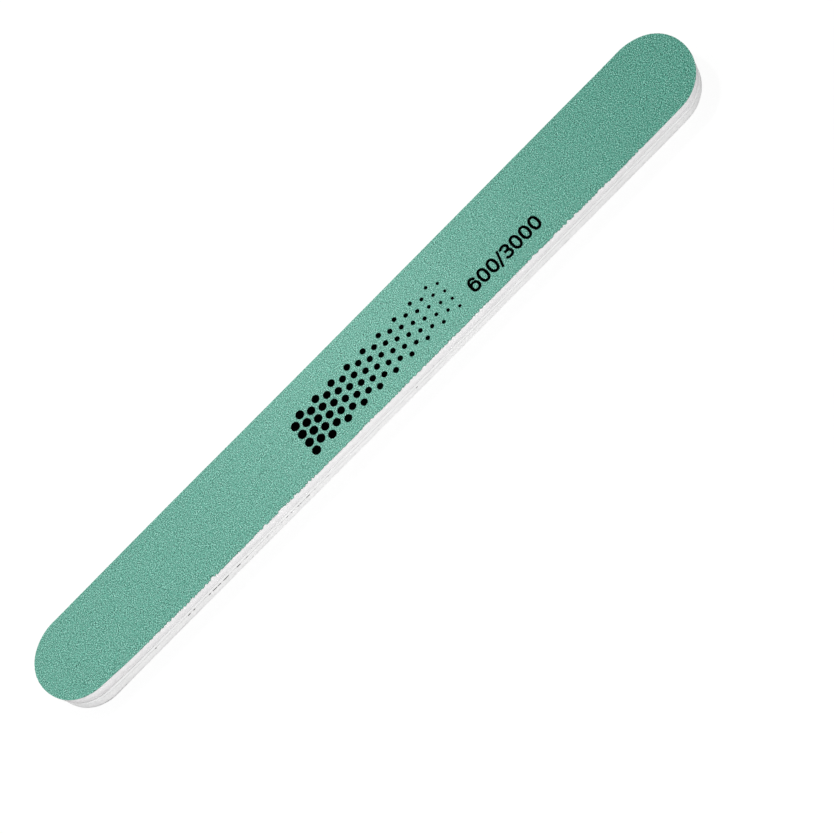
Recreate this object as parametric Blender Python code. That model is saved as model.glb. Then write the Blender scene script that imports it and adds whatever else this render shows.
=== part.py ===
# Nail buffer: a flat board with round ends, made of sheets bonded face to face.
# Lengths are in metres. X runs along the board and Z up through its sheets.
# The origin is the middle of the white face, which the board rests on.

import math

import bmesh
import bpy

# Board outline, the same for every sheet
BOARD_LENGTH = 0.178
BOARD_WIDTH = 0.019
END_STEPS = 20

# Sheet thicknesses, from the white face up to the green face
WHITE_COAT_THICKNESS = 0.00006
WHITE_FILM_THICKNESS = 0.00012
LOWER_ADHESIVE_THICKNESS = 0.00008
LOWER_FOAM_THICKNESS = 0.00175
LOWER_TAPE_THICKNESS = 0.00010
CORE_THICKNESS = 0.00080
UPPER_TAPE_THICKNESS = 0.00010
UPPER_FOAM_THICKNESS = 0.00240
UPPER_ADHESIVE_THICKNESS = 0.00008
GREEN_FILM_THICKNESS = 0.00014
GREEN_COAT_THICKNESS = 0.00007

# Gap left between two bonded sheets, so that each stays a solid of its own
BOND_GAP = 0.00001

# How far a sheet's cut edge stands back from the outline, where it does
ADHESIVE_DRAW_IN = 0.00004
TAPE_DRAW_IN = 0.00016
FOAM_DRAW_IN_AT_FILM = 0.00003
FOAM_DRAW_IN_AT_CORE = 0.00012

# How much deeper the middle of a foam wall stands back than its two edges
FOAM_HOLLOW = 0.00010
FOAM_WALL_STEPS = 4

# Rim of the white side, which the cutting die rolls upwards
ROLL_WIDTH = 0.00055
ROLL_DEPTH = 0.00025
ROLL_STEPS = 3

# Edges sharper than this stay crisp
CREASE_ANGLE = math.radians(30)

# Colour, roughness and metallic value of each material
FINISHES = {
    "white_coat": ((0.86, 0.86, 0.85), 0.55, 0),
    "white_film": ((0.84, 0.84, 0.84), 0.35, 0),
    "clear_adhesive": ((0.72, 0.73, 0.74), 0.30, 0),
    "white_foam": ((0.80, 0.79, 0.80), 0.85, 0),
    "core_plastic": ((0.84, 0.86, 0.86), 0.30, 0),
    "green_film": ((0.10, 0.32, 0.24), 0.45, 0),
    "green_grit": ((0.16, 0.46, 0.34), 0.80, 0),
}


def clear_scene():
    for old in list(bpy.data.objects):
        bpy.data.objects.remove(old, do_unlink=True)


def make_material(finish_name, node_name):
    colour, roughness, metallic = FINISHES[finish_name]
    material = bpy.data.materials.new(f"{finish_name}_of_{node_name}")
    material.use_nodes = True
    shader = material.node_tree.nodes["Principled BSDF"]
    shader.inputs["Base Color"].default_value = (*colour, 1)
    shader.inputs["Roughness"].default_value = roughness
    shader.inputs["Metallic"].default_value = metallic
    return material


def outline_ring(inset, height):
    """The board's outline, drawn in by inset, at one height and anticlockwise from above."""
    end_centre = (BOARD_LENGTH - BOARD_WIDTH) / 2
    radius = BOARD_WIDTH / 2 - inset
    points = []
    for side in (1, -1):
        for step in range(END_STEPS + 1):
            angle = math.pi * (step / END_STEPS - 1 / 2)
            x = side * (end_centre + radius * math.cos(angle))
            y = side * radius * math.sin(angle)
            points.append((x, y, height))
    return points


# A profile is a sheet's section at its rim: a list of (inset, height) from its underside
# round its cut edge to its top, with height measured from the sheet's own underside.


def flat_profile(thickness, edge_inset):
    return [(edge_inset, 0), (edge_inset, thickness)]


def roll_height(inset):
    """How far the rolled rim lifts the white side at this inset, in straight steps."""
    steps_out = ROLL_STEPS * max(ROLL_WIDTH - inset, 0) / ROLL_WIDTH
    step = min(math.floor(steps_out), ROLL_STEPS - 1)
    rise = step**2 + ((step + 1) ** 2 - step**2) * (steps_out - step)
    return ROLL_DEPTH * rise / ROLL_STEPS**2


def rolled_underside(edge_inset):
    """An underside that follows the rolled rim, from the flat middle out to the cut edge."""
    insets = [ROLL_WIDTH * (1 - step / ROLL_STEPS) for step in range(ROLL_STEPS)]
    insets = [inset for inset in insets if inset > edge_inset] + [edge_inset]
    return [(inset, roll_height(inset)) for inset in insets]


def rolled_profile(thickness, edge_inset):
    """A thin sheet, as thick at the rolled rim as in the middle."""
    under = rolled_underside(edge_inset)
    over = [(inset, height + thickness) for inset, height in reversed(under)]
    return under + over


def foam_wall(low_height, high_height, low_inset, high_inset):
    """The hollow cut wall of a foam sheet, from its low edge to its high edge."""
    wall = []
    for step in range(FOAM_WALL_STEPS + 1):
        up = step / FOAM_WALL_STEPS
        hollow = FOAM_HOLLOW * 4 * up * (1 - up)
        inset = low_inset + (high_inset - low_inset) * up + hollow
        wall.append((inset, low_height + (high_height - low_height) * up))
    return wall


def lower_foam_profile(thickness, edge_inset):
    """Foam whose underside follows the rolled rim and whose flat top is on the core."""
    under = rolled_underside(edge_inset)
    edge_height = under[-1][1]
    return under[:-1] + foam_wall(edge_height, thickness, edge_inset, FOAM_DRAW_IN_AT_CORE)


def upper_foam_profile(thickness, edge_inset):
    """Foam that is flat on both sides and stands on the core."""
    return foam_wall(0, thickness, FOAM_DRAW_IN_AT_CORE, edge_inset)


def make_sheet(name, finish_name, profile, base_height, board):
    """One closed sheet, lofted through the outline rings of its profile."""
    bm = bmesh.new()
    rings = [[bm.verts.new(point) for point in outline_ring(*place)] for place in profile]
    bm.faces.new(reversed(rings[0]))
    for low_ring, high_ring in zip(rings, rings[1:]):
        for index, low_vertex in enumerate(low_ring):
            after = (index + 1) % len(low_ring)
            bm.faces.new((low_vertex, low_ring[after], high_ring[after], high_ring[index]))
    bm.faces.new(rings[-1])
    mesh = bpy.data.meshes.new(name)
    bm.to_mesh(mesh)
    bm.free()
    mesh.shade_smooth()
    mesh.set_sharp_from_angle(angle=CREASE_ANGLE)
    mesh.materials.append(make_material(finish_name, name))
    sheet = bpy.data.objects.new(name, mesh)
    sheet.parent = board
    sheet.location = (0, 0, base_height)
    bpy.context.collection.objects.link(sheet)


# Every sheet from the white face up: name, finish, thickness, how its rim is shaped,
# and how far its cut edge stands back
SHEETS = (
    ("white_polishing_coat", "white_coat", WHITE_COAT_THICKNESS, rolled_profile, 0),
    ("white_backing_film", "white_film", WHITE_FILM_THICKNESS, rolled_profile, 0),
    (
        "lower_face_adhesive",
        "clear_adhesive",
        LOWER_ADHESIVE_THICKNESS,
        rolled_profile,
        ADHESIVE_DRAW_IN,
    ),
    (
        "lower_foam",
        "white_foam",
        LOWER_FOAM_THICKNESS,
        lower_foam_profile,
        FOAM_DRAW_IN_AT_FILM,
    ),
    ("lower_core_tape", "clear_adhesive", LOWER_TAPE_THICKNESS, flat_profile, TAPE_DRAW_IN),
    ("core_splint", "core_plastic", CORE_THICKNESS, flat_profile, 0),
    ("upper_core_tape", "clear_adhesive", UPPER_TAPE_THICKNESS, flat_profile, TAPE_DRAW_IN),
    (
        "upper_foam",
        "white_foam",
        UPPER_FOAM_THICKNESS,
        upper_foam_profile,
        FOAM_DRAW_IN_AT_FILM,
    ),
    (
        "upper_face_adhesive",
        "clear_adhesive",
        UPPER_ADHESIVE_THICKNESS,
        flat_profile,
        ADHESIVE_DRAW_IN,
    ),
    ("green_backing_film", "green_film", GREEN_FILM_THICKNESS, flat_profile, 0),
    ("green_grit_coat", "green_grit", GREEN_COAT_THICKNESS, flat_profile, 0),
)


def make_board():
    """The whole laminate, sheet on sheet from the white face up to the green face."""
    board = bpy.data.objects.new("nail_buffer", None)
    bpy.context.collection.objects.link(board)
    base_height = 0
    for name, finish_name, thickness, shape_rim, edge_inset in SHEETS:
        profile = shape_rim(thickness, edge_inset)
        make_sheet(name, finish_name, profile, base_height, board)
        base_height += thickness + BOND_GAP


clear_scene()
make_board()
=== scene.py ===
import math

import bmesh
import bpy
import numpy as np
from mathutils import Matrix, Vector, noise


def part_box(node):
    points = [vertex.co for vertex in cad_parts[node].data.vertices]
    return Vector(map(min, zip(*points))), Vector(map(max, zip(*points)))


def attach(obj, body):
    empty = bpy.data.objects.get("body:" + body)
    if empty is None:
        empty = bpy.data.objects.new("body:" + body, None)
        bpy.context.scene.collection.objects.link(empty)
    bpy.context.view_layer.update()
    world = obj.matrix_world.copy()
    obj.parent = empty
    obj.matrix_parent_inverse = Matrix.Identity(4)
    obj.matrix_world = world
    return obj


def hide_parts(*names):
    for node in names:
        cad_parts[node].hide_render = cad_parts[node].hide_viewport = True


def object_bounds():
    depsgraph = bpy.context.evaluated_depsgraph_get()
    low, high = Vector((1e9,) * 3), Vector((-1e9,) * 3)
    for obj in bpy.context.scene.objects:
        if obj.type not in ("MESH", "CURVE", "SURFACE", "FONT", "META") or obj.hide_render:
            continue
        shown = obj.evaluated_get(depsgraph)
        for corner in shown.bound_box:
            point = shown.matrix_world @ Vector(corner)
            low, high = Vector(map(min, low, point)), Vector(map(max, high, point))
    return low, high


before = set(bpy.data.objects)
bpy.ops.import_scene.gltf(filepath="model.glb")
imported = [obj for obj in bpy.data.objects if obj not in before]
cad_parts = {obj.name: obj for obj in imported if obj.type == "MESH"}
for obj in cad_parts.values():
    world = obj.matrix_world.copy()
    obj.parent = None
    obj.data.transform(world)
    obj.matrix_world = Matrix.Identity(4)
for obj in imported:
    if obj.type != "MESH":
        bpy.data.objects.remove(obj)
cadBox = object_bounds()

mm = 0.001
sheetLap = 0.012 * mm  # each sheet reaches this far up, so that it touches the next one


def nodeHeights(nodeName):
    low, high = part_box(nodeName)
    return low.z, high.z + sheetLap


# The board's outline comes from the frame, and every sheet follows it
boardLow, boardHigh = cadBox
boardLength = boardHigh.x - boardLow.x
boardWidth = boardHigh.y - boardLow.y
boardHeight = boardHigh.z - boardLow.z
endRadius = boardWidth / 2
halfStraight = boardLength / 2 - endRadius

boardCut = {
    "outlinePoints": 3200,
    "sharpAngle": 40,  # edges sharper than this stay crisp
    # where the die's cut strays from the true outline at four levels, in mm:
    # x, y, how far outwards, and how far along the edge it fades out. A scratch program
    # that fitted the photo's edge printed every top row, the last four of foot, and the
    # third and fourth of core. It also gave the places of foot's first and core's first
    "strays": {
        "base": [(86.5, -6, -0.35, 5), (-81, -9.4, 0.13, 6)],
        "core": [
            (-82.2, -9.1, -0.40, 5),
            (-62, -9.5, -0.20, 14),
            (7.8, -9.5, 0.10, 14),
            (73.8, -9.5, -0.14, 14),
            (86.5, -6, -0.15, 5),
        ],
        "foot": [
            (-70.2, -9.5, -0.46, 22),
            (67.8, -9.5, -0.24, 22),
            (-82.2, -9.1, -0.43, 4),
            (-28.2, -9.5, -0.11, 9),
            (-87.3, 5.4, 0.33, 6),
        ],
        "top": [
            (-82.2, -9.1, -0.39, 4),
            (-87.3, 5.4, 0.42, 4),
            (87.1, 5.7, 0.55, 4),
            (4.8, -9.5, 0.17, 22),
            (-52.7, 9.5, 0.17, 22),
            (-79.2, -9.5, -0.47, 9),
            (58.8, -9.5, 0.24, 9),
            (85.1, -7.7, -0.11, 4),
            (-88.6, 2.7, 0.23, 4),
        ],
    },
    # how much of the foot's cut the shelf over the core has, the rest being the core's
    "shelfShare": 0.4,
    # the height in mm up to which each level's cut is reached, from the white face up
    "levels": [
        (0, "base"),
        (2.05, "core"),
        (2.96, "core"),
        (2.97, "shelf"),
        (3.08, "shelf"),
        (3.6, "foot"),
        (5.48, "top"),
    ],
    # the rim of the white side, which the die rolls upwards, in mm
    "rollWidth": 0.55,
    "rollDepth": 0.25,
    "rollSteps": 6,
}


# Shader and geometry node helpers


def addNode(tree, kind, inputs=None, **settings):
    made = tree.nodes.new(kind)
    for name, value in settings.items():
        setattr(made, name, value)
    for name, value in (inputs or {}).items():
        plug(tree, made.inputs[name], value)
    return made


def plug(tree, socket, value):
    if isinstance(value, bpy.types.NodeSocket):
        tree.links.new(value, socket)
    else:
        socket.default_value = value


def addSocket(tree, name, kind, inOut="INPUT", value=None):
    made = tree.interface.new_socket(name=name, in_out=inOut, socket_type=kind)
    if value is not None:
        made.default_value = value
    return made


def mathNode(tree, operation, first, second=0.0, clamp=False):
    made = addNode(tree, "ShaderNodeMath", operation=operation, use_clamp=clamp)
    plug(tree, made.inputs[0], first)
    plug(tree, made.inputs[1], second)
    return made.outputs[0]


def mixColour(tree, factor, low, high, blend="MIX"):
    made = addNode(tree, "ShaderNodeMix", data_type="RGBA", blend_type=blend)
    plug(tree, made.inputs[0], factor)
    plug(tree, made.inputs[6], low)
    plug(tree, made.inputs[7], high)
    return made.outputs[2]


def rampNode(tree, factor, stops):
    made = addNode(tree, "ShaderNodeValToRGB", {"Fac": factor})
    ramp = made.color_ramp
    while len(ramp.elements) < len(stops):
        ramp.elements.new(0.5)
    for element, (place, colour) in zip(ramp.elements, stops):
        element.position = place
        element.color = (*colour, 1)
    return made.outputs["Color"]


def combineNode(tree, x=0.0, y=0.0, z=0.0):
    return addNode(tree, "ShaderNodeCombineXYZ", {"X": x, "Y": y, "Z": z}).outputs[0]


def grey(level):
    return (level, level, level)


speckleLook = {
    "askew": (0.6, 0.35, 0.9),  # turns the cells, so that no face lies along their own grid
    "grainTurn": 0.55,
    "pullWave": 12.0,  # cells to one wave of the noise that pulls the grain out of shape
    "pullReach": 4.5,  # how many cells it pulls by
}


def makeSpeckleGroup():
    # cells and clouds over a surface: a tone for each small cell, an even fine grain,
    # a soft cloud, and a height
    tree = bpy.data.node_groups.new("fineSpeckle", "ShaderNodeTree")
    addSocket(tree, "Vector", "NodeSocketVector")
    addSocket(tree, "Cell size", "NodeSocketFloat", value=0.0003)
    addSocket(tree, "Cloud size", "NodeSocketFloat", value=0.004)
    addSocket(tree, "Cell tone", "NodeSocketFloat", "OUTPUT")
    addSocket(tree, "Grain", "NodeSocketFloat", "OUTPUT")
    addSocket(tree, "Cloud", "NodeSocketFloat", "OUTPUT")
    addSocket(tree, "Height", "NodeSocketFloat", "OUTPUT")
    start = addNode(tree, "NodeGroupInput")
    cellScale = mathNode(tree, "DIVIDE", 1.0, start.outputs["Cell size"])
    cloudScale = mathNode(tree, "DIVIDE", 1.0, start.outputs["Cloud size"])
    vector = start.outputs["Vector"]
    askew = addNode(
        tree, "ShaderNodeMapping", {"Vector": vector, "Rotation": speckleLook["askew"]}
    ).outputs["Vector"]
    cells = addNode(tree, "ShaderNodeTexVoronoi", {"Vector": askew, "Scale": cellScale})
    fine = addNode(
        tree, "ShaderNodeTexNoise", {"Vector": askew, "Scale": cellScale, "Detail": 2.0}
    )
    turned = addNode(
        tree, "ShaderNodeMapping", {"Vector": vector, "Rotation": (0, 0, speckleLook["grainTurn"])}
    )
    pullScale = mathNode(tree, "DIVIDE", cellScale, speckleLook["pullWave"])
    pull = addNode(
        tree, "ShaderNodeTexNoise", {"Vector": vector, "Scale": pullScale, "Detail": 0.0}
    )
    reach = mathNode(tree, "MULTIPLY", start.outputs["Cell size"], speckleLook["pullReach"])
    pulled = addNode(
        tree,
        "ShaderNodeVectorMath",
        {
            0: pull.outputs["Color"],
            1: combineNode(tree, reach, reach, reach),
            2: turned.outputs["Vector"],
        },
        operation="MULTIPLY_ADD",
    )
    grain = addNode(
        tree,
        "ShaderNodeTexNoise",
        {"Vector": pulled.outputs[0], "Scale": cellScale, "Detail": 0.0},
        noise_dimensions="2D",
    )
    cloud = addNode(
        tree, "ShaderNodeTexNoise", {"Vector": askew, "Scale": cloudScale, "Detail": 3.0}
    )
    tone = addNode(tree, "ShaderNodeSeparateColor", {"Color": cells.outputs["Color"]})
    height = mathNode(tree, "SUBTRACT", fine.outputs["Fac"], cells.outputs["Distance"])
    end = addNode(tree, "NodeGroupOutput")
    tree.links.new(tone.outputs[0], end.inputs["Cell tone"])
    tree.links.new(grain.outputs["Fac"], end.inputs["Grain"])
    tree.links.new(cloud.outputs["Fac"], end.inputs["Cloud"])
    tree.links.new(height, end.inputs["Height"])
    return tree


speckleGroup = makeSpeckleGroup()


def startMaterial(name, roughness):
    # a material with its shader, its Object coordinates and the tree they are in
    material = bpy.data.materials.new(name)
    material.use_nodes = True
    tree = material.node_tree
    shader = tree.nodes["Principled BSDF"]
    shader.inputs["Roughness"].default_value = roughness
    coordinates = addNode(tree, "ShaderNodeTexCoord").outputs["Object"]
    return material, tree, shader, coordinates


def speckleOn(tree, coordinates, finish):
    made = addNode(tree, "ShaderNodeGroup", node_tree=speckleGroup)
    tree.links.new(coordinates, made.inputs["Vector"])
    made.inputs["Cell size"].default_value = finish["cellSize"] * mm
    made.inputs["Cloud size"].default_value = finish["cloudSize"] * mm
    return made.outputs


def dress(tree, shader, colour, height, finish):
    tree.links.new(colour, shader.inputs["Base Color"])
    bump = addNode(
        tree,
        "ShaderNodeBump",
        {"Strength": finish["bump"], "Distance": finish["bumpDepth"] * mm, "Height": height},
    )
    tree.links.new(bump.outputs["Normal"], shader.inputs["Normal"])


# Finishes, with their sizes and depths in mm


gritFinish = {
    "cellSize": 0.185,
    "cloudSize": 6.0,
    "contrast": 1.98,
    "grainShare": 0.12,
    # the grains' own tones that differ at random, with the red spread wider at both ends as
    # painted glints and painted shade in pits
    "darkest": (0.001, 0.034, 0.023),
    "dark": (0.012, 0.162, 0.117),
    "base": (0.0735, 0.349, 0.2545),
    "light": (0.262, 0.672, 0.528),
    # a painted glint on the brightest grains
    "paintedGlint": (0.45, 0.80, 0.70),
    "sheen": (0.65, 1.0, 0.89),
    "dullPatch": 0.98,
    "roughness": 0.4,
    "bump": 0.3,
    "bumpDepth": 0.03,
}


def makeGritMaterial(name, ownTone):
    # the even grain sets the colour, and each crystal adds a tone of its own
    finish = gritFinish
    material, tree, shader, coordinates = startMaterial(name, finish["roughness"])
    pattern = speckleOn(tree, coordinates, finish)
    swing = mathNode(tree, "SUBTRACT", pattern["Grain"], 0.5)
    tone = mathNode(tree, "MULTIPLY", swing, finish["contrast"])
    if ownTone:
        own = addNode(tree, "ShaderNodeAttribute", attribute_name="grainTone").outputs["Fac"]
        ownSwing = mathNode(tree, "SUBTRACT", own, 0.5)
        added = mathNode(tree, "MULTIPLY", ownSwing, finish["grainShare"])
        tone = mathNode(tree, "ADD", tone, added)
    tone = mathNode(tree, "ADD", tone, 0.5, clamp=True)
    colour = rampNode(
        tree,
        tone,
        [
            (0.0, finish["darkest"]),
            (0.2, finish["dark"]),
            (0.5, finish["base"]),
            (0.985, finish["light"]),
            (1.0, finish["paintedGlint"]),
        ],
    )
    shader.inputs["Specular Tint"].default_value = (*finish["sheen"], 1)
    shade = rampNode(tree, pattern["Cloud"], [(0.3, grey(finish["dullPatch"])), (0.7, grey(1.0))])
    clouded = mixColour(tree, 1.0, colour, shade, "MULTIPLY")
    dress(tree, shader, clouded, pattern["Grain"], finish)
    return material


foamFinish = {
    "upperSkin": (0.872, 0.862, 0.869),
    # the lower foam is the same foam as the upper one, painted lighter to make up for the shade
    # low on the wall: painted light
    "lowerSkinPaintedLighter": (0.925, 0.923, 0.923),
    "cellSize": 0.16,
    "cloudSize": 2.5,
    "pore": 0.88,
    "dullPatch": 0.965,
    # painted shade inside the hollows
    "paintedHollowShade": 0.10,
    # painted shade at the foot of the upper foam, where it meets the core
    "footShade": 0.95,
    "roughness": 0.9,
    "bump": 0.5,
    "bumpDepth": 0.04,
}


def makeFoamMaterial(name, skin):
    # one attribute is 1 in the hollows where the foam has come away from the core, and the
    # other is 1 at the foot of the upper foam next to the core; both darken the foam as painted
    # shade
    finish = foamFinish
    material, tree, shader, coordinates = startMaterial(name, finish["roughness"])
    pattern = speckleOn(tree, coordinates, finish)
    hollowShade = addNode(tree, "ShaderNodeAttribute", attribute_name="hollowShade").outputs["Fac"]
    footShadeWeight = addNode(tree, "ShaderNodeAttribute", attribute_name="footShade").outputs["Fac"]
    marks = [
        (pattern["Cell tone"], [(0.0, grey(finish["pore"])), (0.3, grey(1.0))]),
        (pattern["Cloud"], [(0.35, grey(finish["dullPatch"])), (0.6, grey(1.0))]),
        (hollowShade, [(0.0, grey(1.0)), (1.0, grey(finish["paintedHollowShade"]))]),
        (footShadeWeight, [(0.0, grey(1.0)), (1.0, grey(finish["footShade"]))]),
    ]
    colour = (*skin, 1)
    for value, stops in marks:
        colour = mixColour(tree, 1.0, colour, rampNode(tree, value, stops), "MULTIPLY")
    dress(tree, shader, colour, pattern["Height"], finish)
    return material


# a thin sheet takes its colour from one output of the speckle, between two levels of it
coreTapeFinish = {
    "cellSize": 0.3,
    "cloudSize": 3.0,
    "follows": "Cloud",
    "tones": [(0.35, grey(0.92)), (0.6, grey(0.96))],
    "roughness": 0.4,
    "bump": 0.3,
    "bumpDepth": 0.02,
}
faceAdhesiveFinish = {**coreTapeFinish, "tones": [(0.35, grey(0.90)), (0.6, grey(0.94))]}
whiteFilmFinish = {
    **coreTapeFinish,
    "cellSize": 0.25,
    "tones": [(0.35, grey(0.91)), (0.6, grey(0.94))],
    "bump": 0.2,
}
coreFinish = {
    **coreTapeFinish,
    "cellSize": 0.12,
    "cloudSize": 4.0,
    "upright": 0.15,  # draws the speckle out into upright marks of the die
    "tones": [(0.35, grey(0.86)), (0.6, grey(0.895))],
    "roughness": 0.35,
    "bump": 0.35,
}
greenFilmFinish = {
    **coreTapeFinish,
    "cellSize": 0.2,
    "follows": "Cell tone",
    "tones": [(0.0, (0.05, 0.20, 0.15)), (1.0, (0.10, 0.33, 0.25))],
    "roughness": 0.45,
}
inkFinish = {
    **coreTapeFinish,
    "cellSize": 0.18,
    "cloudSize": 2.0,
    "follows": "Cell tone",
    "tones": [(0.8, grey(0.0002)), (1.0, (0.002, 0.003, 0.003))],
    "roughness": 0.8,
    "specular": 0.0,
    "bump": 0.5,
}


def makeSheetMaterial(name, finish):
    material, tree, shader, coordinates = startMaterial(name, finish["roughness"])
    if "specular" in finish:
        shader.inputs["Specular IOR Level"].default_value = finish["specular"]
    if "upright" in finish:
        stretch = (1, 1, finish["upright"])
        drawn = addNode(tree, "ShaderNodeMapping", {"Vector": coordinates, "Scale": stretch})
        coordinates = drawn.outputs["Vector"]
    pattern = speckleOn(tree, coordinates, finish)
    colour = rampNode(tree, pattern[finish["follows"]], finish["tones"])
    dress(tree, shader, colour, pattern["Height"], finish)
    return material


polishingFinish = {
    "cellSize": 0.22,
    "cloudSize": 6.0,
    "dull": (0.845, 0.845, 0.838),
    "clean": (0.89, 0.89, 0.883),
    "fineShade": 0.95,
    "speck": (0.35, 0.35, 0.34),
    "speckPitch": 1.6,
    "speckRadius": 0.05,
    "speckShare": 0.06,
    "roughness": 0.5,
    "bump": 0.35,
    "bumpDepth": 0.02,
}


def makePolishingMaterial():
    finish = polishingFinish
    material, tree, shader, coordinates = startMaterial("polishingCoat", finish["roughness"])
    pattern = speckleOn(tree, coordinates, finish)
    mottle = rampNode(tree, pattern["Cloud"], [(0.3, finish["dull"]), (0.65, finish["clean"])])
    fineStops = [(0.0, grey(finish["fineShade"])), (0.5, grey(1.0))]
    fine = rampNode(tree, pattern["Cell tone"], fineStops)
    plain = mixColour(tree, 1.0, mottle, fine, "MULTIPLY")
    # a few tiny specks of grey dust pressed into the coat
    dustScale = 1 / (finish["speckPitch"] * mm)
    dust = addNode(tree, "ShaderNodeTexVoronoi", {"Vector": coordinates, "Scale": dustScale})
    near = mathNode(tree, "LESS_THAN", dust.outputs["Distance"], finish["speckRadius"])
    pick = addNode(tree, "ShaderNodeSeparateColor", {"Color": dust.outputs["Color"]})
    rare = mathNode(tree, "LESS_THAN", pick.outputs[0], finish["speckShare"])
    mask = mathNode(tree, "MULTIPLY", near, rare)
    colour = mixColour(tree, mask, plain, (*finish["speck"], 1))
    dress(tree, shader, colour, pattern["Height"], finish)
    return material


gritCoatMaterial = makeGritMaterial("gritCoat", False)
grainMaterial = makeGritMaterial("gritGrains", True)
greenFilmMaterial = makeSheetMaterial("greenFilm", greenFilmFinish)
upperFoamMaterial = makeFoamMaterial("upperFoamCells", foamFinish["upperSkin"])
# the lower foam's copy is painted lighter than the upper one, painted light against the shade low
# on the wall
lowerFoamMaterial = makeFoamMaterial("lowerFoamCells", foamFinish["lowerSkinPaintedLighter"])
coreMaterial = makeSheetMaterial("corePlastic", coreFinish)
faceAdhesiveMaterial = makeSheetMaterial("faceAdhesive", faceAdhesiveFinish)
coreTapeMaterial = makeSheetMaterial("coreTape", coreTapeFinish)
whiteFilmMaterial = makeSheetMaterial("whiteFilm", whiteFilmFinish)
polishingMaterial = makePolishingMaterial()
inkMaterial = makeSheetMaterial("printingInk", inkFinish)
print("finishes made")


# Outline and sheets


def trueOutline(count):
    # evenly spaced points of the outline with their outward directions, anticlockwise from above
    straight = 2 * halfStraight
    arc = math.pi * endRadius
    around = np.arange(count) * 2 * (straight + arc) / count
    points = np.zeros((count, 2))
    outward = np.zeros((count, 2))
    for index, s in enumerate(around):
        side = 1 if s < arc + straight else -1
        s = s if side == 1 else s - arc - straight
        if s < arc:
            angle = s / endRadius - math.pi / 2
            outward[index] = side * math.cos(angle), side * math.sin(angle)
            points[index] = outward[index] * endRadius + (side * halfStraight, 0)
        else:
            outward[index] = 0, side
            points[index] = side * (halfStraight - (s - arc)), side * endRadius
    return points, outward


outlinePoints, outlineOutward = trueOutline(boardCut["outlinePoints"])


def strayOf(rows):
    # smooth swellings and dents, measured along the edge from the point nearest to each place
    count = len(outlinePoints)
    pointPitch = 2 * (2 * halfStraight + math.pi * endRadius) / count
    total = np.zeros(count)
    for x, y, amount, reach in rows:
        nearest = np.argmin(np.hypot(*(outlinePoints - (x * mm, y * mm)).T))
        steps = np.abs(np.arange(count) - nearest)
        away = np.minimum(steps, count - steps) * pointPitch
        total += amount * mm * np.exp(-0.5 * (away / (reach * mm)) ** 2)
    return total


strays = {level: strayOf(rows) for level, rows in boardCut["strays"].items()}
shelfShare = boardCut["shelfShare"]
strays["shelf"] = strays["core"] * (1 - shelfShare) + strays["foot"] * shelfShare


def strayAt(height):
    levels = boardCut["levels"]
    for (low, below), (high, above) in zip(levels, levels[1:]):
        if height < high * mm:
            share = (height / mm - low) / (high - low)
            return strays[below] * (1 - share) + strays[above] * share
    return strays[levels[-1][1]]


def noiseAlong(size, seed):
    # smooth noise round the outline, from about -1 to 1, with features of this size in mm
    start = Vector((seed, 0, seed))
    places = [Vector((x, y, 0)) / (size * mm) + start for x, y in outlinePoints]
    return np.array([noise.noise(place) for place in places])


def newObject(name, data):
    made = bpy.data.objects.new(name, data)
    bpy.context.collection.objects.link(made)
    return made


def ringAt(height, inset, wander=0):
    # one turn of the outline at a height, drawn in by inset, a number or one for each point
    calm = 1 - np.minimum(np.asarray(inset) / endRadius, 1)
    stray = strayAt(height) * calm
    flat = outlinePoints + outlineOutward * (stray + wander - inset)[:, None]
    ring = np.zeros((len(flat), 3))
    ring[:, :2] = flat
    ring[:, 2] = height
    return ring


def loftRings(name, rings, material, sharpAngle=boardCut["sharpAngle"], marks=None):
    # a closed body through rings from the middle of the underside, round the edge, to the top
    count = len(rings[0])
    vertices = np.concatenate(rings)
    faces = [tuple(range(count - 1, -1, -1))]
    for level in range(len(rings) - 1):
        low, high = level * count, (level + 1) * count
        for i in range(count):
            j = (i + 1) % count
            faces.append((low + i, low + j, high + j, high + i))
    top = (len(rings) - 1) * count
    faces.append(tuple(range(top, top + count)))
    mesh = bpy.data.meshes.new(name)
    mesh.from_pydata(vertices.tolist(), [], faces)
    mesh.shade_smooth()
    mesh.set_sharp_from_angle(angle=math.radians(sharpAngle))
    mesh.materials.append(material)
    for mark, values in (marks or {}).items():
        layer = mesh.attributes.new(mark, "FLOAT", "POINT")
        layer.data.foreach_set("value", np.concatenate(values))
    return newObject(name, mesh)


def seat(piece, nodeName):
    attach(piece, "root")
    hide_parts(nodeName)


def rollAt(inset):
    towardsEdge = np.clip(1 - np.asarray(inset) / (boardCut["rollWidth"] * mm), 0, 1)
    return boardCut["rollDepth"] * mm * towardsEdge**2


def rolledRings(low, edgeInset, wander):
    # rings of a surface that follows the rolled rim, from its flat middle outwards
    rings = []
    for step in range(boardCut["rollSteps"] + 1):
        out = step / boardCut["rollSteps"]
        inset = boardCut["rollWidth"] * mm * (1 - out) + edgeInset * out
        rings.append(ringAt(low + rollAt(inset), inset, wander * out))
    return rings


# Green side


tornEdge = {
    "from": -71.0,
    "to": 72.0,
    "fade": 5.0,
    "calmShare": 0.08,
    "drawIn": 0.07,
    "toothDepth": 0.48,
    "toothSize": 0.85,
    "toothSharpness": 2.2,
    "toothSeed": 3.1,
    "patchSize": 5.1,
    "patchMiddle": 0.75,
    "patchSwing": 0.9,
    "patchLeast": 0.3,
    "patchSeed": 7.7,
    "fineDepth": 0.16,
    "fineSize": 0.4,
    "fineSeed": 8.4,
}


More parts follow.
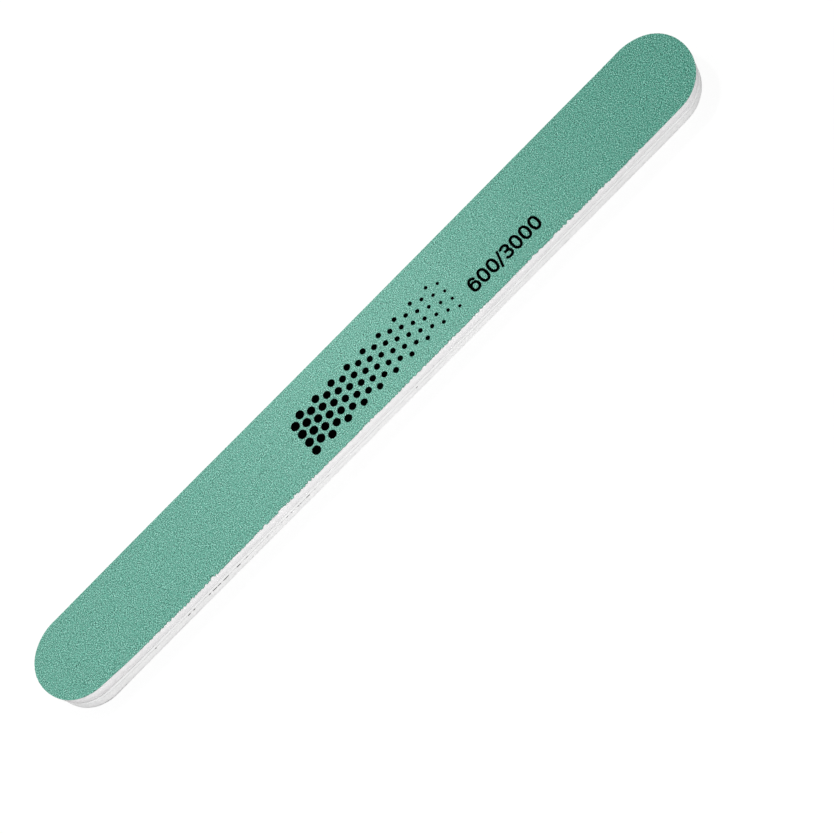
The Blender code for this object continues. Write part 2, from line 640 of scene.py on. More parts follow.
def ragOfGreenSheet():
    # the die tears the green sheet into small teeth along the side that faces -Y
    torn = tornEdge
    x, y = outlinePoints[:, 0] / mm, outlinePoints[:, 1]
    within = np.minimum(x - torn["from"], torn["to"] - x)
    ragged = np.where(y < 0, np.clip(within / torn["fade"], 0, 1), 0)
    share = torn["calmShare"] + (1 - torn["calmShare"]) * ragged
    away = np.abs(noiseAlong(torn["toothSize"], torn["toothSeed"]))
    ridge = np.clip(1 - torn["toothSharpness"] * away, 0, 1)
    drift = torn["patchSwing"] * noiseAlong(torn["patchSize"], torn["patchSeed"])
    patchy = np.clip(torn["patchMiddle"] + drift, torn["patchLeast"], 1)
    teeth = torn["toothDepth"] * ridge**2 * patchy
    fine = torn["fineDepth"] * noiseAlong(torn["fineSize"], torn["fineSeed"])
    return -mm * share * (torn["drawIn"] + teeth + fine)


greenRag = ragOfGreenSheet()


gritCoat = {
    "sinkBelowTop": 0.035,
    "softEdge": 0.02,
    "bareRim": 0.1,
    "innerInsets": [0.6, 1.5, 3.5, 6.0, 8.6],
}


def makeGritCoat():
    # the grainy attribute is 1 where crystals may lie, from the bare rim inwards
    low, high = nodeHeights("green_grit_coat")
    high -= sheetLap
    top = high - gritCoat["sinkBelowTop"] * mm
    soft = gritCoat["softEdge"] * mm
    bareRings = [(low, 0), (top - soft, 0), (top, soft)]
    rings = [ringAt(height, inset, greenRag) for height, inset in bareRings]
    rings.append(ringAt(top, gritCoat["bareRim"] * mm, greenRag))
    rings += [ringAt(top, inset * mm) for inset in gritCoat["innerInsets"]]
    count = len(outlinePoints)
    grainy = [np.full(count, float(level >= len(bareRings))) for level in range(len(rings))]
    piece = loftRings("greenGritCoat", rings, gritCoatMaterial, marks={"grainy": grainy})
    seat(piece, "green_grit_coat")
    return piece


greenFilm = {"ragAtFoot": 0.8}


def makeGreenFilm():
    low, high = nodeHeights("green_backing_film")
    rings = [ringAt(low, 0, greenRag * greenFilm["ragAtFoot"]), ringAt(high, 0, greenRag)]
    piece = loftRings("greenBackingFilm", rings, greenFilmMaterial)
    seat(piece, "green_backing_film")


grains = {
    "mostPerSquareMm": 30.0,
    "apart": 0.10,
    "size": 0.20,
    "footShare": 0.6,
    "tipShare": 0.32,
    "depthShare": 0.34,
    "sizeSpread": 0.45,
    "tilt": 5.0,
    "sink": 0.015,
    "seed": 11,
    "sizeSeed": 5,
    "toneSeed": 9,
    "pieces": 4,
}


socketKinds = {float: "NodeSocketFloat", int: "NodeSocketInt", type(None): "NodeSocketObject"}


def startTree(name, values):
    # a geometry tree with a named input for each of these values, and one for its material
    tree = bpy.data.node_groups.new(name, "GeometryNodeTree")
    addSocket(tree, "Geometry", "NodeSocketGeometry")
    for socketName, value in values.items():
        addSocket(tree, socketName, socketKinds[type(value)], value=value)
    addSocket(tree, "Material", "NodeSocketMaterial")
    addSocket(tree, "Geometry", "NodeSocketGeometry", "OUTPUT")
    return tree, addNode(tree, "NodeGroupInput").outputs


def endTree(tree, geometry, material):
    # every tree ends in real faces that carry their material
    real = addNode(tree, "GeometryNodeRealizeInstances", {"Geometry": geometry}).outputs[0]
    painted = addNode(tree, "GeometryNodeSetMaterial", {"Geometry": real, "Material": material})
    end = addNode(tree, "NodeGroupOutput")
    tree.links.new(painted.outputs[0], end.inputs["Geometry"])
    return tree


def makeGrainTree():
    tree, start = startTree(
        "scatterGrains",
        {
            "Most dense": 1.0,
            "Apart": 0.0001,
            "Grain size": 0.0002,
            "Size spread": 0.5,
            "Tilt": 0.5,
            "Sink": 0.0,
            "From X": 0.0,
            "To X": 0.0,
            "Seed": 1,
            "Inked": 0.0,
            "Numbers": None,
            "Dots": None,
        },
    )
    # only the face that points up, between two places along the board
    normal = addNode(tree, "GeometryNodeInputNormal").outputs[0]
    position = addNode(tree, "GeometryNodeInputPosition").outputs[0]
    lean = addNode(tree, "ShaderNodeSeparateXYZ", {"Vector": normal})
    place = addNode(tree, "ShaderNodeSeparateXYZ", {"Vector": position})
    facesUp = mathNode(tree, "GREATER_THAN", lean.outputs["Z"], 0.9)
    scatter = addNode(
        tree,
        "GeometryNodeDistributePointsOnFaces",
        {
            "Mesh": start["Geometry"],
            "Density Max": start["Most dense"],
            "Distance Min": start["Apart"],
            "Seed": start["Seed"],
            "Selection": facesUp,
        },
        distribute_method="POISSON",
    )
    after = mathNode(tree, "GREATER_THAN", place.outputs["X"], start["From X"])
    before = mathNode(tree, "LESS_THAN", place.outputs["X"], start["To X"])
    inside = mathNode(tree, "MULTIPLY", after, before)
    outside = mathNode(tree, "SUBTRACT", 1.0, inside)
    # a grain under the printing is an inked one
    marks = addNode(tree, "GeometryNodeJoinGeometry")
    for name in ("Numbers", "Dots"):
        mark = addNode(tree, "GeometryNodeObjectInfo", {"Object": start[name]})
        tree.links.new(mark.outputs["Geometry"], marks.inputs[0])
    above = addNode(
        tree, "ShaderNodeVectorMath", {0: position, 1: (0, 0, 10 * mm)}, operation="ADD"
    )
    hit = addNode(
        tree,
        "GeometryNodeRaycast",
        {
            "Target Geometry": marks.outputs[0],
            "Source Position": above.outputs[0],
            "Ray Direction": (0, 0, -1),
            "Ray Length": 20 * mm,
        },
    )
    wrongInk = mathNode(
        tree, "ABSOLUTE", mathNode(tree, "SUBTRACT", hit.outputs["Is Hit"], start["Inked"])
    )
    grainy = addNode(
        tree, "GeometryNodeInputNamedAttribute", {"Name": "grainy"}, data_type="FLOAT"
    )
    bare = mathNode(tree, "LESS_THAN", grainy.outputs["Attribute"], 0.999)
    unwanted = mathNode(tree, "ADD", mathNode(tree, "ADD", outside, wrongInk), bare)
    kept = addNode(
        tree,
        "GeometryNodeDeleteGeometry",
        {"Geometry": scatter.outputs["Points"], "Selection": unwanted},
        domain="POINT",
    )
    # a blunt three sided crystal
    radiusBottom = mathNode(tree, "MULTIPLY", start["Grain size"], grains["footShare"])
    radiusTop = mathNode(tree, "MULTIPLY", start["Grain size"], grains["tipShare"])
    depth = mathNode(tree, "MULTIPLY", start["Grain size"], grains["depthShare"])
    crystal = addNode(
        tree,
        "GeometryNodeMeshCone",
        {"Vertices": 3, "Radius Top": radiusTop, "Radius Bottom": radiusBottom, "Depth": depth},
    )
    tiltBack = mathNode(tree, "MULTIPLY", start["Tilt"], -1.0)
    turnLow = combineNode(tree, tiltBack, tiltBack, 0.0)
    turnHigh = combineNode(tree, start["Tilt"], start["Tilt"], math.tau)
    turn = addNode(
        tree,
        "FunctionNodeRandomValue",
        {"Min": turnLow, "Max": turnHigh, "Seed": start["Seed"]},
        data_type="FLOAT_VECTOR",
    )
    small = mathNode(tree, "SUBTRACT", 1.0, start["Size spread"])
    large = mathNode(tree, "ADD", 1.0, start["Size spread"])
    smallest = combineNode(tree, small, small, small)
    largest = combineNode(tree, large, large, 1.0)
    stretch = addNode(
        tree,
        "FunctionNodeRandomValue",
        {"Min": smallest, "Max": largest, "Seed": grains["sizeSeed"]},
        data_type="FLOAT_VECTOR",
    )
    placed = addNode(
        tree,
        "GeometryNodeInstanceOnPoints",
        {
            "Points": kept.outputs[0],
            "Instance": crystal.outputs["Mesh"],
            "Rotation": turn.outputs["Value"],
            "Scale": stretch.outputs["Value"],
        },
    )
    drop = combineNode(tree, z=mathNode(tree, "MULTIPLY", start["Sink"], -1.0))
    sunk = addNode(
        tree,
        "GeometryNodeTranslateInstances",
        {"Instances": placed.outputs[0], "Translation": drop, "Local Space": False},
    )
    tone = addNode(
        tree, "FunctionNodeRandomValue", {"Seed": grains["toneSeed"]}, data_type="FLOAT"
    )
    toned = addNode(
        tree,
        "GeometryNodeStoreNamedAttribute",
        {"Geometry": sunk.outputs[0], "Name": "grainTone", "Value": tone.outputs[1]},
        domain="INSTANCE",
        data_type="FLOAT",
    )
    return endTree(tree, toned.outputs[0], start["Material"])


def runTree(name, source, tree, values):
    # puts the source mesh through a geometry tree and returns the result as a plain object
    holder = newObject(name + "Source", source)
    modifier = holder.modifiers.new("tree", "NODES")
    modifier.node_group = tree
    for item in tree.interface.items_tree:
        if item.in_out == "INPUT" and item.name in values:
            modifier[item.identifier] = values[item.name]
    evaluated = holder.evaluated_get(bpy.context.evaluated_depsgraph_get())
    mesh = bpy.data.meshes.new_from_object(evaluated)
    mesh.name = name
    mesh.materials.clear()
    mesh.materials.append(values["Material"])
    mesh.polygons.foreach_set("material_index", [0] * len(mesh.polygons))
    holder.modifiers.clear()
    bpy.data.objects.remove(holder)
    return newObject(name, mesh)


def makeGrains(coat, numbers, dots):
    tree = makeGrainTree()
    step = boardLength / grains["pieces"]
    spare = mm  # lets the first and last pieces take in what strays past the ends
    runs = []
    for number in range(grains["pieces"]):
        runs.append(("gritGrains" + str(number + 1), boardLow.x + step * number, step, 0.0))
    runs.append(("inkedGrains", boardLow.x, boardLength, 1.0))
    for name, fromX, reach, inked in runs:
        piece = runTree(
            name,
            coat.data,
            tree,
            {
                "Most dense": grains["mostPerSquareMm"] / mm**2,
                "Apart": grains["apart"] * mm,
                "Grain size": grains["size"] * mm,
                "Size spread": grains["sizeSpread"],
                "Tilt": math.radians(grains["tilt"]),
                "Sink": grains["sink"] * mm,
                "From X": fromX - (spare if fromX == boardLow.x else 0),
                "To X": fromX + reach + (spare if fromX + reach > boardHigh.x - spare else 0),
                "Seed": grains["seed"],
                "Inked": inked,
                "Numbers": numbers,
                "Dots": dots,
                "Material": inkMaterial if inked else grainMaterial,
            },
        )
        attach(piece, "root")
        print(name, len(piece.data.polygons), "faces")


# Foam, adhesive and core


foamCut = {
    "drawInAtFilm": 0.0,
    "upperDrawInAtCore": 0.08,
    "lowerDrawInAtCore": 0.0,
    "belly": 0.05,
    "waveDepth": 0.05,
    "waveSize": 7.0,
    "waveDrift": 0.6,
    "roughDepth": 0.03,
    "roughSize": 0.45,
    "roughDrift": 11.0,
    "roughAtEdges": 0.35,
    "sharpAngle": 45,
    "steps": [0.0, 0.07, 0.13, 0.14, 0.2, 0.3, 0.4, 0.5, 0.6, 0.7, 0.8, 0.86, 0.87, 0.93, 1.0],
    "hollowHeight": 0.22,
    "hollowSteepness": 2.5,
    "hollowFade": 0.2,
    "shadedFrom": 0.03,
    # where up the upper foam's wall the painted shade at its foot is darkest, and how far it
    # reaches
    "footShadeAt": 0.14,
    "footShadeReach": 0.24,
    "upperSeed": 2.0,
    "lowerSeed": 5.0,
}

# places on the side that faces -Y where the foam has come away from the core:
# middle x, length and depth in mm. Most of the middles follow what a scratch program
# measured on the photo, and the lengths and depths are chosen by hand
lowerHollows = [
    (-67.35, 0.15, 0.6), (-63.3, 0.15, 0.012), (-60.2, 0.15, 0.012), (-57.9, 0.5, 0.5),
    (-56.5, 0.25, 0.6), (-52.15, 0.35, 0.6), (-50.7, 1.0, 1.0), (-49.5, 0.6, 0.9),
    (-47.6, 1.3, 0.8), (-44.1, 0.8, 0.8), (-41.8, 0.6, 0.03), (-36.0, 0.5, 0.025),
    (-32.0, 0.3, 0.025), (-30.5, 0.3, 0.6), (-29.35, 0.2, 0.6), (-27.45, 0.3, 0.5),
    (-26.85, 0.15, 0.5), (-25.9, 0.2, 0.015), (-24.8, 0.7, 0.7), (-22.85, 0.2, 0.02),
    (-19.2, 0.25, 0.025), (-10.8, 0.2, 0.01), (-5.1, 0.2, 0.01), (5.4, 0.25, 0.6),
]
upperHollows = [
    (6.9, 0.15, 0.016), (10.75, 0.15, 0.016), (12.6, 0.15, 0.01), (17.1, 0.15, 0.018),
    (41.85, 0.2, 0.016),
]


def hollowDepth(hollows):
    depth = np.zeros(len(outlinePoints))
    x, y = outlinePoints[:, 0] / mm, outlinePoints[:, 1]
    fade = foamCut["hollowFade"]
    for middle, length, deep in hollows:
        inside = np.clip((length / 2 + fade / 2 - np.abs(x - middle)) / fade, 0, 1)
        depth = np.maximum(depth, deep * mm * inside)
    return np.where(y < 0, depth, 0)


lowerVoids = hollowDepth(lowerHollows)
upperVoids = hollowDepth(upperHollows)


def foamWall(low, high, lowInset, highInset, seed, voids, voidsAt):
    # the rings of a cut wall, with its hollows at the foot if voidsAt is 0 and at the top if 1
    rings, hollowShade, footShade = [], [], []
    for up in foamCut["steps"]:
        belly = foamCut["belly"] * 4 * up * (1 - up)
        inset = mm * (lowInset + (highInset - lowInset) * up + belly)
        waveSeed, roughSeed = seed + up * foamCut["waveDrift"], seed + up * foamCut["roughDrift"]
        wave = foamCut["waveDepth"] * noiseAlong(foamCut["waveSize"], waveSeed)
        rough = foamCut["roughDepth"] * noiseAlong(foamCut["roughSize"], roughSeed)
        calm = min(1, 4 * up * (1 - up) + foamCut["roughAtEdges"])
        near = 1 - abs(up - voidsAt) * (high - low) / (foamCut["hollowHeight"] * mm)
        away = voids * min(1, max(0, near * foamCut["hollowSteepness"]))
        rings.append(ringAt(low + (high - low) * up, inset + away - mm * calm * (wave + rough)))
        # painted shade: 1 well inside a hollow, which darkens the foam there
        hollowShade.append(np.clip(away / (foamCut["shadedFrom"] * mm), 0, 1))
        # painted shade at the foot of the upper foam, next to the core
        crept = 1 - abs(up - foamCut["footShadeAt"]) / foamCut["footShadeReach"]
        footShade.append(np.full(len(outlinePoints), max(crept, 0.0)))
    return rings, hollowShade, footShade


def makeFoams():
    look = foamCut
    sharp, atFilm = look["sharpAngle"], look["drawInAtFilm"]
    low, high = nodeHeights("upper_foam")
    rings, hollowShade, footShade = foamWall(
        low, high, look["upperDrawInAtCore"], atFilm, look["upperSeed"], upperVoids, 0
    )
    marks = {"hollowShade": hollowShade, "footShade": footShade}
    upper = loftRings("upperFoam", rings, upperFoamMaterial, sharp, marks)
    seat(upper, "upper_foam")

    low, high = nodeHeights("lower_foam")
    under = rolledRings(low, atFilm * mm, 0)[:-1]
    foot = low + rollAt(atFilm * mm)
    rings, hollowShade = foamWall(
        foot, high, atFilm, look["lowerDrawInAtCore"], look["lowerSeed"], lowerVoids, 1
    )[:2]
    hollowShade = [np.zeros(len(outlinePoints))] * len(under) + hollowShade
    lower = loftRings("lowerFoam", under + rings, lowerFoamMaterial, sharp, {"hollowShade": hollowShade})
    seat(lower, "lower_foam")


# Flat sheets that a geometry tree cuts from the outline


def makeSheetTree():
    tree, start = startTree(
        "cutSheet",
        {
            "Base height": 0.0,
            "Thickness": 0.0001,
            "Draw in": 0.0,
            "Wander": 0.0,
            "Wander size": 0.001,
            "Seed": 0.0,
        },
    )
    place = addNode(tree, "GeometryNodeInputPosition").outputs[0]
    unevenness = addNode(
        tree,
        "ShaderNodeTexNoise",
        {
            "Vector": place,
            "W": start["Seed"],
            "Scale": mathNode(tree, "DIVIDE", 1.0, start["Wander size"]),
            "Detail": 1.0,
        },
        noise_dimensions="4D",
    )
    swing = mathNode(tree, "SUBTRACT", unevenness.outputs[0], 0.5)
    wander = mathNode(tree, "MULTIPLY", swing, start["Wander"])
    outwards = mathNode(tree, "SUBTRACT", wander, start["Draw in"])
    outward = addNode(
        tree, "GeometryNodeInputNamedAttribute", {"Name": "outward"}, data_type="FLOAT_VECTOR"
    )
    offset = addNode(
        tree,
        "ShaderNodeVectorMath",
        {0: outward.outputs["Attribute"], "Scale": outwards},
        operation="SCALE",
    )
    moved = addNode(
        tree,
        "GeometryNodeSetPosition",
        {"Geometry": start["Geometry"], "Offset": offset.outputs[0]},
    )
    ring = addNode(tree, "GeometryNodeMeshToCurve", {"Mesh": moved.outputs[0]})
    flat = addNode(tree, "GeometryNodeFillCurve", {"Curve": ring.outputs[0]}, mode="NGONS")
    filled = addNode(
        tree,
        "GeometryNodeTransform",
        {"Geometry": flat.outputs[0], "Translation": combineNode(tree, z=start["Base height"])},
    )
    raised = addNode(
        tree,
        "GeometryNodeExtrudeMesh",
        {
            "Mesh": filled.outputs[0],
            "Offset": combineNode(tree, z=start["Thickness"]),
            "Offset Scale": 1.0,
            "Individual": False,
        },
    )
    under = addNode(tree, "GeometryNodeFlipFaces", {"Mesh": filled.outputs[0]})
    whole = addNode(tree, "GeometryNodeJoinGeometry")
    tree.links.new(raised.outputs["Mesh"], whole.inputs[0])
    tree.links.new(under.outputs[0], whole.inputs[0])
    closed = addNode(
        tree,
        "GeometryNodeMergeByDistance",
        {"Geometry": whole.outputs[0], "Distance": 0.001 * mm},
    )
    return endTree(tree, closed.outputs[0], start["Material"])


def outlineLoop(height, inset):
    # the outline at this height as a closed loop of edges that knows its outward direction
    ring = ringAt(height, inset)
    count = len(ring)
    mesh = bpy.data.meshes.new("outlineLoop")
    mesh.from_pydata(ring.tolist(), [(i, (i + 1) % count) for i in range(count)], [])
    outward = np.zeros((count, 3))
    outward[:, :2] = outlineOutward
    layer = mesh.attributes.new("outward", "FLOAT_VECTOR", "POINT")
    layer.data.foreach_set("vector", outward.ravel())
    return mesh


# how far each sheet's cut edge stands back, and how far it wanders over what length, in mm
flatSheets = {
    "coreSplint": {"drawIn": 0.0, "wander": 0.03, "wanderSize": 1.0, "seed": 6.6},
    "upperCoreTape": {"drawIn": 0.03, "wander": 0.04, "wanderSize": 1.2, "seed": 2.5},
    "lowerCoreTape": {"drawIn": 0.13, "wander": 0.10, "wanderSize": 1.2, "seed": 3.5},
    "upperFaceAdhesive": {"drawIn": 0.02, "wander": 0.04, "wanderSize": 1.2, "seed": 1.5},
}


def makeFlatSheets():
    tree = makeSheetTree()
    for name, nodeName, material, slotName, voids in (
        ("coreSplint", "core_splint", coreMaterial, "core", 0),
        ("upperCoreTape", "upper_core_tape", coreTapeMaterial, "adhesive", upperVoids),
        ("lowerCoreTape", "lower_core_tape", coreTapeMaterial, "adhesive", lowerVoids),
        ("upperFaceAdhesive", "upper_face_adhesive", faceAdhesiveMaterial, "adhesive", 0),
    ):
        look = flatSheets[name]
        low, high = nodeHeights(nodeName)
        piece = runTree(
            name,
            outlineLoop(low, voids),
            tree,
            {
                "Base height": low,
                "Thickness": high - low,
                "Draw in": look["drawIn"] * mm,
                "Wander": look["wander"] * mm,
                "Wander size": look["wanderSize"] * mm,
                "Seed": look["seed"],
                "Material": material,
            },
        )
        piece.data.shade_smooth()
        piece.data.set_sharp_from_angle(angle=math.radians(boardCut["sharpAngle"]))
        seat(piece, nodeName)
        print(name, len(piece.data.polygons), "faces")


# White side


whiteSide = {
    "wander": 0.02,
    "wanderSize": 1.5,
    "seed": 4.4,
    "coatInsets": [8.6, 6.0, 3.5, 1.5],
}


def makeWhiteSide():
    wander = whiteSide["wander"] * mm * noiseAlong(whiteSide["wanderSize"], whiteSide["seed"])
    for name, nodeName, material, slotName in (
        ("lowerFaceAdhesive", "lower_face_adhesive", faceAdhesiveMaterial, "adhesive"),
        ("whiteBackingFilm", "white_backing_film", whiteFilmMaterial, "white_film"),
        ("whitePolishingCoat", "white_polishing_coat", polishingMaterial, "polishing_coat"),
    ):
        low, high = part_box(nodeName)
        thickness = high.z - low.z - rollAt(0) + sheetLap
        under = rolledRings(low.z, 0, wander)
        over = [ring + (0, 0, thickness) for ring in reversed(under)]
        if name == "whitePolishingCoat":
            under = [ringAt(low.z, inset * mm) for inset in whiteSide["coatInsets"]] + under
        seat(loftRings(name, under + over, material), nodeName)


# Printing on the green side


# centre lines in a box from -1 to 1 both ways: an arc is its middle, its two radii
# and its first and last angle, and a line is its two ends
digitStrokes = {
    "0": [(0, 0, 1, 1, 0, 360)],
    "3": [
        (-0.04, 0.525, 0.94, 0.475, 168, -90),
        (0, -0.475, 1, 0.525, 90, -168),
        ((-0.62, 0.05), (0, 0.05)),
    ],
    "6": [(0, -0.35, 1, 0.65, 0, 360), (0, 0, 1, 1, 200, 30)],
    "/": [((-0.74, -1.42), (0.77, 1.19))],
}

gradeNumbers = {
    "text": "600/3000",
    "height": 3.40,
    "width": 2.32,
    "stroke": 0.63,
    "slashShare": 0.86,
    "places": [27.51, 30.06, 32.62, 34.49, 36.47, 39.02, 41.6, 44.16],
    "middleY": -4.52,
    "turn": 0.5,
    "squareness": 2.3,
    "arcStep": 9,
    "thickness": 0.02,
    "proud": 0.012,
}


def strokePoints(stroke):
    if len(stroke) == 2:
        return stroke
    middleX, middleY, radiusX, radiusY, first, last = stroke
    count = max(6, round(abs(last - first) / gradeNumbers["arcStep"]))
    power = 2 / gradeNumbers["squareness"]
    points = []
    for step in range(count + (abs(last - first) < 360)):
        angle = math.radians(first + (last - first) * step / count)
        across, up = math.cos(angle), math.sin(angle)
        x = middleX + radiusX * math.copysign(abs(across) ** power, across)
        points.append((x, middleY + radiusY * math.copysign(abs(up) ** power, up)))
    return points


def inkPiece(name, curve, thickness, top):
    # turns a thick curve into a flat film of ink with its top at this height
    holder = newObject(name + "Source", curve)
    evaluated = holder.evaluated_get(bpy.context.evaluated_depsgraph_get())
    mesh = bpy.data.meshes.new_from_object(evaluated)
    bpy.data.objects.remove(holder)
    heights = [v.co.z for v in mesh.vertices]
    squeeze = thickness / (max(heights) - min(heights))
    for vertex in mesh.vertices:
        vertex.co.z = top + (vertex.co.z - max(heights)) * squeeze
    shape = bmesh.new()
    shape.from_mesh(mesh)
    bmesh.ops.remove_doubles(shape, verts=shape.verts, dist=0.002 * mm)
    shape.to_mesh(mesh)
    shape.free()
    mesh.name = name
    mesh.materials.clear()
    mesh.materials.append(inkMaterial)
    piece = newObject(name, mesh)
    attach(piece, "root")
    return piece


def coatTop():
    return boardHeight - gritCoat["sinkBelowTop"] * mm


def makeGradeNumbers():
    look = gradeNumbers
    curve = bpy.data.curves.new("gradeNumbers", "CURVE")
    curve.dimensions = "3D"
    curve.bevel_depth = look["stroke"] * mm / 2
    curve.bevel_resolution = 2
    curve.use_fill_caps = True
    halfWidth = (look["width"] - look["stroke"]) * mm / 2
    halfHeight = (look["height"] - look["stroke"]) * mm / 2
    for letter, place in zip(look["text"], look["places"]):
        rise = math.tan(math.radians(look["turn"])) * (place - look["places"][3])
        for stroke in digitStrokes[letter]:
            points = strokePoints(stroke)
            spline = curve.splines.new("POLY")
            spline.points.add(len(points) - 1)
            spline.use_cyclic_u = len(stroke) == 6 and abs(stroke[5] - stroke[4]) == 360
            for point, (across, up) in zip(spline.points, points):
                x = place * mm + across * halfWidth
                point.co = (x, (look["middleY"] + rise) * mm + up * halfHeight, 0, 1)
                point.radius = look["slashShare"] if letter == "/" else 1
    return inkPiece("gradeNumbers", curve, look["thickness"] * mm, coatTop() + look["proud"] * mm)


gradeDots = {
    "columns": 19,
    "rows": 4,
    "firstX": -17.0,
    "pitchX": 2.2,
    "middleY": -1.5,
    "pitchY": 2.4,
    "largest": 1.0,
    "smallest": 0.36,
    "sides": 28,
    "thickness": 0.02,
    "proud": 0.012,
}


def makeDotTree():
    # rows of flat discs that shrink along the board, every second column set half a pitch aside
    tree, start = startTree(
        "gradedDots",
        {
            "Pitch X": 0.002,
            "Pitch Y": 0.002,
            "First X": 0.0,
            "Middle Y": 0.0,
            "Top": 0.0,
            "Largest radius": 0.001,
            "Smallest radius": 0.0001,
            "Thickness": 0.00002,
            "Columns": 2,
            "Rows": 2,
        },
    )
    count = mathNode(tree, "MULTIPLY", start["Columns"], start["Rows"])
    points = addNode(tree, "GeometryNodePoints", {"Count": count})
    index = addNode(tree, "GeometryNodeInputIndex").outputs[0]
    column = mathNode(tree, "FLOOR", mathNode(tree, "DIVIDE", index, start["Rows"]))
    row = mathNode(tree, "MODULO", index, start["Rows"])
    odd = mathNode(tree, "MODULO", column, 2.0)
    along = mathNode(tree, "MULTIPLY", column, start["Pitch X"])
    x = mathNode(tree, "ADD", start["First X"], along)
    middleRow = mathNode(tree, "MULTIPLY", mathNode(tree, "SUBTRACT", start["Rows"], 0.5), 0.5)
    shifted = mathNode(tree, "ADD", row, mathNode(tree, "MULTIPLY", odd, 0.5))
    rowsAway = mathNode(tree, "SUBTRACT", shifted, middleRow)
    across = mathNode(tree, "MULTIPLY", rowsAway, start["Pitch Y"])
    y = mathNode(tree, "ADD", start["Middle Y"], across)
    halfThick = mathNode(tree, "MULTIPLY", start["Thickness"], 0.5)
    z = mathNode(tree, "SUBTRACT", start["Top"], halfThick)
    placed = addNode(
        tree,
        "GeometryNodeSetPosition",
        {"Geometry": points.outputs[0], "Position": combineNode(tree, x, y, z)},
    )
    lastColumn = mathNode(tree, "SUBTRACT", start["Columns"], 1.0)
    share = mathNode(tree, "DIVIDE", column, lastColumn)
    shrink = mathNode(tree, "SUBTRACT", start["Smallest radius"], start["Largest radius"])
    lost = mathNode(tree, "MULTIPLY", share, shrink)
    radius = mathNode(tree, "ADD", start["Largest radius"], lost)
    disc = addNode(
        tree,
        "GeometryNodeMeshCylinder",
        {"Vertices": gradeDots["sides"], "Radius": 1.0, "Depth": start["Thickness"]},
    )
    discs = addNode(
        tree,
        "GeometryNodeInstanceOnPoints",
        {
            "Points": placed.outputs[0],
            "Instance": disc.outputs["Mesh"],
            "Scale": combineNode(tree, radius, radius, 1.0),
        },
    )
    return endTree(tree, discs.outputs[0], start["Material"])


def makeGradeDots():
    look = gradeDots
    piece = runTree(
        "gradeDots",
        bpy.data.meshes.new("gradeDotsSource"),
        makeDotTree(),
        {
            "Pitch X": look["pitchX"] * mm,
            "Pitch Y": look["pitchY"] * mm,
            "First X": look["firstX"] * mm,
            "Middle Y": look["middleY"] * mm,
            "Top": coatTop() + look["proud"] * mm,
            "Largest radius": look["largest"] * mm,
            "Smallest radius": look["smallest"] * mm,
            "Thickness": look["thickness"] * mm,
            "Columns": look["columns"],
            "Rows": look["rows"],
            "Material": inkMaterial,
        },
    )
    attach(piece, "root")
    return piece


coatPiece = makeGritCoat()
makeGreenFilm()
numbersPiece = makeGradeNumbers()
dotsPiece = makeGradeDots()
print("green sheet and printing made")
makeGrains(coatPiece, numbersPiece, dotsPiece)
print("grains made")
makeFoams()
makeFlatSheets()
print("foam, tapes and core made")
makeWhiteSide()
print("white side made")


# Floor, light and camera


studio = {
    "floorSize": 3.0,
    "floorBounce": 0.98,
    "floorSeen": 0.13,
    "floorGlow": 0.91,
    "worldLevel": 0.40,
    "worldSeen": 0.97,
}

# each lamp's place, the X it points at, its size and its power, in metres and watts
lamps = {
    "sheenLamp": ((-0.009, 0.27, 0.44), 0.0, 0.05, 0.80),
    "leftLamp": ((-0.23, 0.29, 0.45), 0.22, 0.28, 0.83),
    "frontLamp": ((-0.018, -0.25, 0.036), 0.0, 0.06, 0.243),
}


def seenByEye(tree):
    # 1 for what the camera, a reflection or a clear piece sees
    path = addNode(tree, "ShaderNodeLightPath").outputs
    glossy = mathNode(tree, "ADD", path["Is Camera Ray"], path["Is Glossy Ray"])
    return mathNode(tree, "ADD", glossy, path["Is Transmission Ray"], clamp=True)


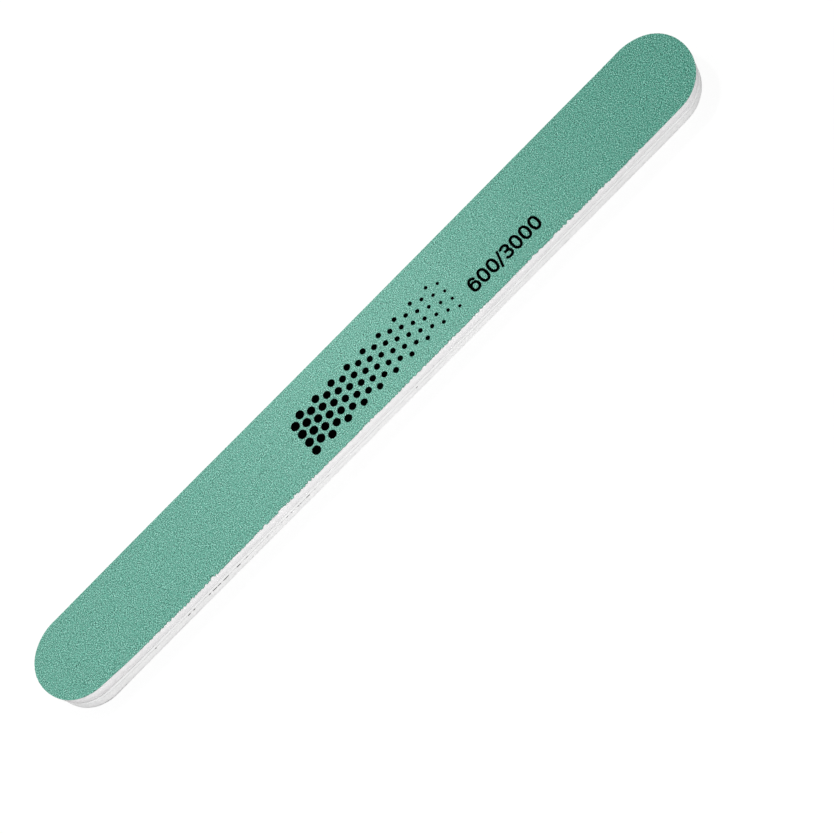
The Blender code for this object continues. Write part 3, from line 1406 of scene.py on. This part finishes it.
def makeFloor():
    half = studio["floorSize"] / 2
    corners = [(-half, -half, 0), (half, -half, 0), (half, half, 0), (-half, half, 0)]
    mesh = bpy.data.meshes.new("studioFloor")
    mesh.from_pydata(corners, [], [(0, 1, 2, 3)])
    material, tree, shader = startMaterial("paleFloor", 0.9)[:3]
    shader.inputs["Specular IOR Level"].default_value = 0.0
    shader.inputs["Emission Color"].default_value = (1, 1, 1, 1)
    seen = seenByEye(tree)
    bounce, shown = (*grey(studio["floorBounce"]), 1), (*grey(studio["floorSeen"]), 1)
    tree.links.new(mixColour(tree, seen, bounce, shown), shader.inputs["Base Color"])
    glow = mathNode(tree, "MULTIPLY", seen, studio["floorGlow"])
    tree.links.new(glow, shader.inputs["Emission Strength"])
    mesh.materials.append(material)
    newObject("studioFloor", mesh)


def makeWorld():
    world = bpy.data.worlds.new("studioWorld")
    world.use_nodes = True
    tree = world.node_tree
    background = tree.nodes["Background"]
    background.inputs["Color"].default_value = (1, 1, 1, 1)
    seen = seenByEye(tree)
    spare = mathNode(tree, "MULTIPLY", seen, studio["worldSeen"] - studio["worldLevel"])
    strength = mathNode(tree, "ADD", spare, studio["worldLevel"])
    tree.links.new(strength, background.inputs["Strength"])
    bpy.context.scene.world = world


def makeLamp(name, place, aimX, size, power):
    lamp = bpy.data.lights.new(name, "AREA")
    lamp.shape = "DISK"
    lamp.size = size
    lamp.energy = power
    holder = newObject(name, lamp)
    holder.location = place
    aim = Vector((aimX, 0, 0)) - Vector(place)
    holder.rotation_euler = aim.to_track_quat("-Z", "Y").to_euler()


# fitted to the outline in the photo by a scratch program, in mm and degrees
cameraView = {
    "lens": 85.0,
    "place": (19.64, -199.05, 336.25),
    "turn": (19.624, 21.859, -40.614),
}


def makeCamera():
    camera = bpy.data.cameras.new("photoView")
    camera.lens = cameraView["lens"]
    camera.clip_start = 0.01
    holder = newObject("photoView", camera)
    holder.location = [value * mm for value in cameraView["place"]]
    holder.rotation_euler = [math.radians(value) for value in cameraView["turn"]]
    bpy.context.scene.camera = holder


makeFloor()
makeWorld()
for lampName, lampRow in lamps.items():
    makeLamp(lampName, *lampRow)
makeCamera()
bpy.context.scene.view_settings.view_transform = "Standard"
print("studio made")
